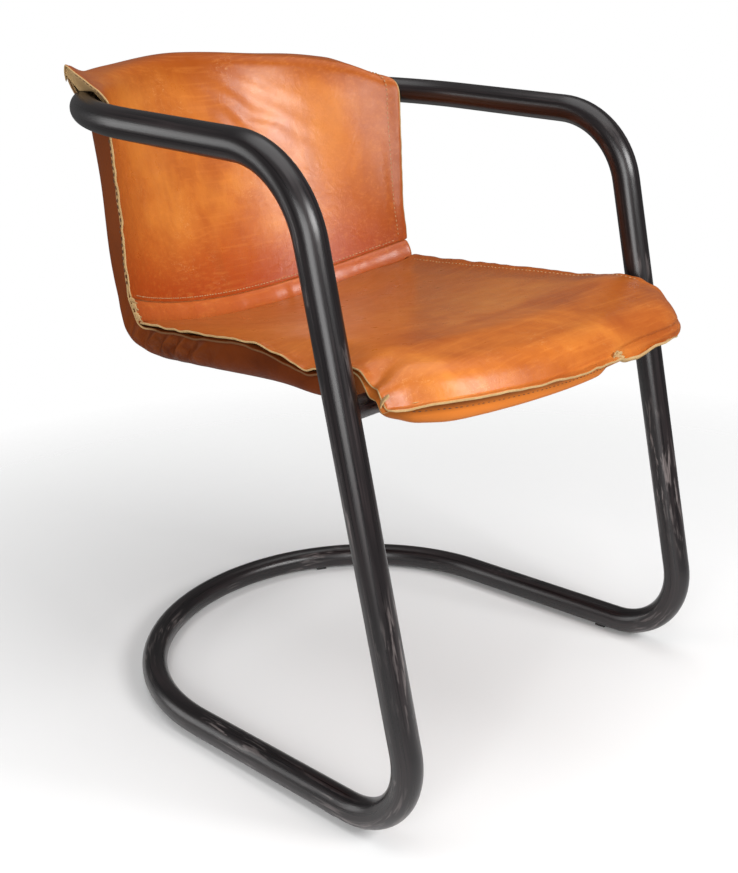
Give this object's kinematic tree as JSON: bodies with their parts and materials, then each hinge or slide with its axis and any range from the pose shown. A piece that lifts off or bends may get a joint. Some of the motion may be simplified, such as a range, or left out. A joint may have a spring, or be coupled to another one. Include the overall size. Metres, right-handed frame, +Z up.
{
  "type": "armchair",
  "caption": "Lounge armchair: a bent steel tube runs from a floor loop up the legs and arms and round behind the back, carrying a dished seat and back in stitched tan leather.",
  "frame": {"origin": "on the floor, in the middle of the chair's bounding box", "axes": "+Z up, the sitter faces -Y, so +X is the sitter's left; +Z is the longest extent and X the shortest"},
  "size_m": [0.556, 0.6639, 0.762],
  "materials": {
    "frame_enamel": "semi-gloss black enamel, rubbed and scuffed",
    "plain_steel": "plain zinc-plated steel",
    "moulded_ply": "unfinished moulded ply",
    "padding": "soft foam and wadding, out of sight",
    "tan_leather": "waxed tan leather with a worn, satin face",
    "brown_leather": "dark brown leather, satin",
    "glide_plastic": "black plastic"
  },
  "bodies": {
    "root": {"frame_tube_left": "frame_enamel", "frame_tube_right": "frame_enamel", "floor_spigot": "plain_steel", "top_spigot": "plain_steel", "front_cross_tube": "frame_enamel", "seat_tab_left": "frame_enamel", "seat_tab_right": "frame_enamel", "back_tab_left": "frame_enamel", "back_tab_right": "frame_enamel", "seat_bolts": "plain_steel", "back_bolts": "plain_steel", "seat_tee_nuts": "plain_steel", "back_tee_nuts": "plain_steel", "shell": "moulded_ply", "seat_foam": "padding", "back_foam": "padding", "front_roll_foam": "padding", "rear_pad": "padding", "top_roll_foam": "padding", "seat_panel": "tan_leather", "lumbar_strip": "tan_leather", "back_panel": "tan_leather", "outer_cover": "brown_leather", "glide_front_left": "glide_plastic", "glide_front_right": "glide_plastic", "glide_rear_left": "glide_plastic", "glide_rear_right": "glide_plastic"}
  },
  "joints": []
}
